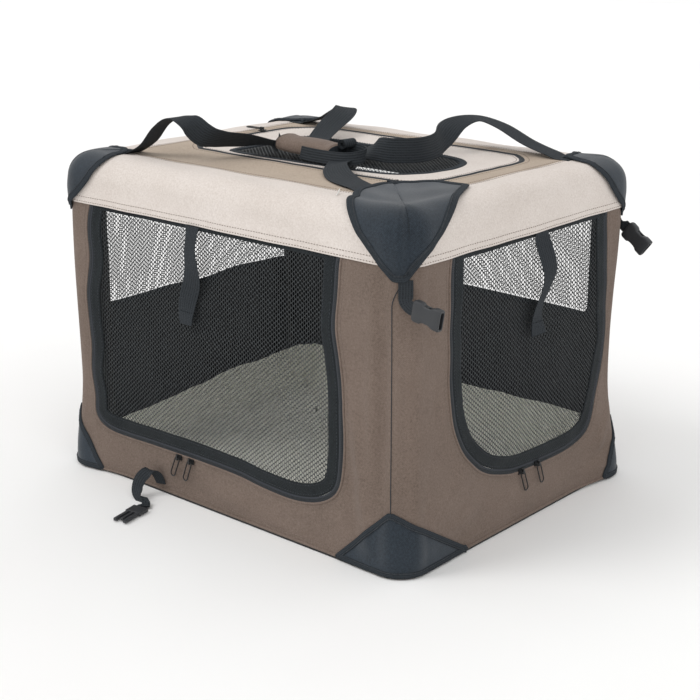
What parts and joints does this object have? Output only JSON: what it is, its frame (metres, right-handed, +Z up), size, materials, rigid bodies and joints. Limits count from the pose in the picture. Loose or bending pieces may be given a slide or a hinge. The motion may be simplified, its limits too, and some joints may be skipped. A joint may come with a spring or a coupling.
{
  "type": "folding dog crate",
  "caption": "Soft-sided dog crate on a folding tube frame, with zipped net doors, a roof flap, handles, tie straps and closing buckles.",
  "frame": {"origin": "middle of the footprint, on the underside of the base board, where the crate stands", "axes": "+X along the long front door towards the short right door, -Y out of the front door, +Z up"},
  "size_m": [0.7586, 0.8006, 0.589],
  "materials": {
    "taupe_fabric": "woven polyester, matt",
    "cream_fabric": "woven polyester, matt",
    "slate_fabric": "woven nylon, matt",
    "black_net": "knitted net, matt",
    "webbing": "ribbed webbing, matt",
    "zip_tape": "zip tape with nylon teeth",
    "fleece": "short pile fleece",
    "black_plastic": "moulded, satin",
    "black_metal": "painted, satin",
    "steel_tube": "powder coated",
    "base_board": "board, matt"
  },
  "bodies": {
    "base": {"base_ring": "steel_tube", "floor_panel": "base_board", "floor_mat": "fleece", "right_front_hinge_bracket": "black_plastic", "right_back_hinge_bracket": "black_plastic", "left_front_hinge_bracket": "black_plastic", "left_back_hinge_bracket": "black_plastic", "front_right_bottom_cap": "slate_fabric", "front_left_bottom_cap": "slate_fabric", "back_right_bottom_cap": "slate_fabric", "back_left_bottom_cap": "slate_fabric", "front_wall": "taupe_fabric", "right_wall": "taupe_fabric", "back_wall": "taupe_fabric", "left_wall": "taupe_fabric", "back_window": "black_net", "left_window": "black_net", "front_zip": "zip_tape", "right_zip": "zip_tape"},
    "right_end_frame": {"right_end_frame": "steel_tube"},
    "left_end_frame": {"left_end_frame": "steel_tube"},
    "frame_carriage": {"right_frame_clip": "black_plastic"},
    "roof": {"top_ring": "steel_tube", "left_frame_clip": "black_plastic", "roof_panel": "taupe_fabric", "front_band": "cream_fabric", "right_band": "cream_fabric", "back_band": "cream_fabric", "left_band": "cream_fabric", "front_right_top_cap": "slate_fabric", "front_left_top_cap": "slate_fabric", "back_right_top_cap": "slate_fabric", "back_left_top_cap": "slate_fabric", "roof_zip": "zip_tape"},
    "front_door": {"front_door": "black_net", "front_door_tie": "webbing"},
    "right_door": {"right_door": "black_net", "right_door_tie": "webbing"},
    "roof_flap": {"roof_flap": "cream_fabric"},
    "front_handle": {"front_handle": "webbing", "handle_grip": "taupe_fabric"},
    "rear_handle": {"rear_handle": "webbing"},
    "front_left_slider": {"front_left_slider": "black_metal"},
    "front_left_pull": {"front_left_pull": "black_metal"},
    "front_right_slider": {"front_right_slider": "black_metal"},
    "front_right_pull": {"front_right_pull": "black_metal"},
    "right_near_slider": {"right_near_slider": "black_metal"},
    "right_near_pull": {"right_near_pull": "black_metal"},
    "right_far_slider": {"right_far_slider": "black_metal"},
    "right_far_pull": {"right_far_pull": "black_metal"},
    "roof_slider": {"roof_slider": "black_metal"},
    "roof_pull": {"roof_pull": "black_metal"},
    "front_female_buckle": {"front_female_strap": "webbing", "front_female_buckle": "black_plastic"},
    "front_male_buckle": {"front_male_strap": "webbing", "front_male_buckle": "black_plastic"},
    "back_female_buckle": {"back_female_strap": "webbing", "back_female_buckle": "black_plastic"},
    "back_male_buckle": {"back_male_strap": "webbing", "back_male_buckle": "black_plastic"}
  },
  "joints": [
    {"name": "frame_fold", "type": "hinge", "parent": "base", "child": "right_end_frame", "pos_m": [0.33, 0, 0.05], "axis": [0, -1, 0], "range_deg": [0, 80], "deforming": ["floor_mat", "front_right_bottom_cap", "front_left_bottom_cap", "back_right_bottom_cap", "back_left_bottom_cap", "front_wall", "right_wall", "back_wall", "left_wall", "back_window", "left_window", "front_zip", "right_zip", "front_door", "right_door", "front_door_tie", "right_door_tie"]},
    {"name": "carriage_level", "type": "hinge", "parent": "right_end_frame", "child": "frame_carriage", "pos_m": [0.33, 0, 0.47954], "axis": [0, -1, 0], "range_deg": [-80, 0]},
    {"name": "roof_drift", "type": "slide", "parent": "frame_carriage", "child": "roof", "axis": [1, 0, 0], "range_m": [0, 0.4235]},
    {"name": "left_frame_fold", "type": "hinge", "parent": "base", "child": "left_end_frame", "pos_m": [-0.33, 0, 0.033], "axis": [0, 1, 0], "range_deg": [0, 90]},
    {"name": "front_door_swing", "type": "hinge", "parent": "roof", "child": "front_door", "pos_m": [-0.0295, -0.275, 0.4437], "axis": [1, 0, 0], "range_deg": [-90, 0]},
    {"name": "right_door_swing", "type": "hinge", "parent": "roof", "child": "right_door", "pos_m": [0.35, 0.018, 0.4437], "axis": [0, 1, 0], "range_deg": [-90, 0]},
    {"name": "roof_flap_swing", "type": "hinge", "parent": "roof", "child": "roof_flap", "pos_m": [0, 0.1814, 0.5154], "axis": [-1, 0, 0], "range_deg": [-88, 0]},
    {"name": "front_handle_swing", "type": "hinge", "parent": "roof", "child": "front_handle", "pos_m": [0, -0.2235, 0.5191], "axis": [1, 0, 0], "range_deg": [0, 75]},
    {"name": "rear_handle_swing", "type": "hinge", "parent": "roof", "child": "rear_handle", "pos_m": [0, 0.2235, 0.5191], "axis": [-1, 0, 0], "range_deg": [0, 75]},
    {"name": "front_left_slider_run", "type": "slide", "parent": "base", "child": "front_left_slider", "axis": [1, 0, 0], "range_m": [-0.14, 0]},
    {"name": "front_left_pull_swing", "type": "hinge", "parent": "front_left_slider", "child": "front_left_pull", "pos_m": [-0.097, -0.28005, 0.0703], "axis": [0.922, 0, -0.3872], "range_deg": [-60, 0]},
    {"name": "front_right_slider_run", "type": "slide", "parent": "base", "child": "front_right_slider", "axis": [1, 0, 0], "range_m": [0, 0.24]},
    {"name": "front_right_pull_swing", "type": "hinge", "parent": "front_right_slider", "child": "front_right_pull", "pos_m": [-0.07, -0.28005, 0.0703], "axis": [0.9348, 0, -0.3552], "range_deg": [-60, 0]},
    {"name": "right_near_slider_run", "type": "slide", "parent": "base", "child": "right_near_slider", "axis": [0, 1, 0], "range_m": [-0.08, 0]},
    {"name": "right_near_pull_swing", "type": "hinge", "parent": "right_near_slider", "child": "right_near_pull", "pos_m": [0.35505, -0.004, 0.0843], "axis": [0, 0.9285, 0.3714], "range_deg": [-60, 0]},
    {"name": "right_far_slider_run", "type": "slide", "parent": "base", "child": "right_far_slider", "axis": [0, 1, 0], "range_m": [0, 0.12]},
    {"name": "right_far_pull_swing", "type": "hinge", "parent": "right_far_slider", "child": "right_far_pull", "pos_m": [0.35505, 0.038, 0.0843], "axis": [0, 0.9348, 0.3552], "range_deg": [-60, 0]},
    {"name": "roof_slider_run", "type": "slide", "parent": "roof", "child": "roof_slider", "axis": [0, -1, 0], "range_m": [0, 0.11]},
    {"name": "roof_pull_swing", "type": "hinge", "parent": "roof_slider", "child": "roof_pull", "pos_m": [-0.2577, 0.08, 0.52195], "axis": [0, 1, 0], "range_deg": [0, 110]},
    {"name": "front_female_swing", "type": "hinge", "parent": "roof", "child": "front_female_buckle", "pos_m": [0.33918, -0.26418, 0.4271], "axis": [0.7071, 0.7071, 0], "range_deg": [-80, 0]},
    {"name": "back_female_swing", "type": "hinge", "parent": "roof", "child": "back_female_buckle", "pos_m": [0.33918, 0.26418, 0.4271], "axis": [-0.7071, 0.7071, 0], "range_deg": [-80, 0]},
    {"name": "front_male_swing", "type": "hinge", "parent": "base", "child": "front_male_buckle", "pos_m": [-0.16, -0.2758, 0.0229], "axis": [-1, 0, 0], "range_deg": [0, 75]},
    {"name": "back_male_swing", "type": "hinge", "parent": "base", "child": "back_male_buckle", "pos_m": [-0.16, 0.2758, 0.0229], "axis": [1, 0, 0], "range_deg": [0, 75]}
  ],
  "couplings": [
    {"joint": "carriage_level", "follows": "frame_fold", "ratio": -1},
    {"joint": "roof_drift", "follows": "frame_fold", "m_per_rad": 0.30296},
    {"joint": "left_frame_fold", "follows": "frame_fold", "ratio": 1.125}
  ]
}
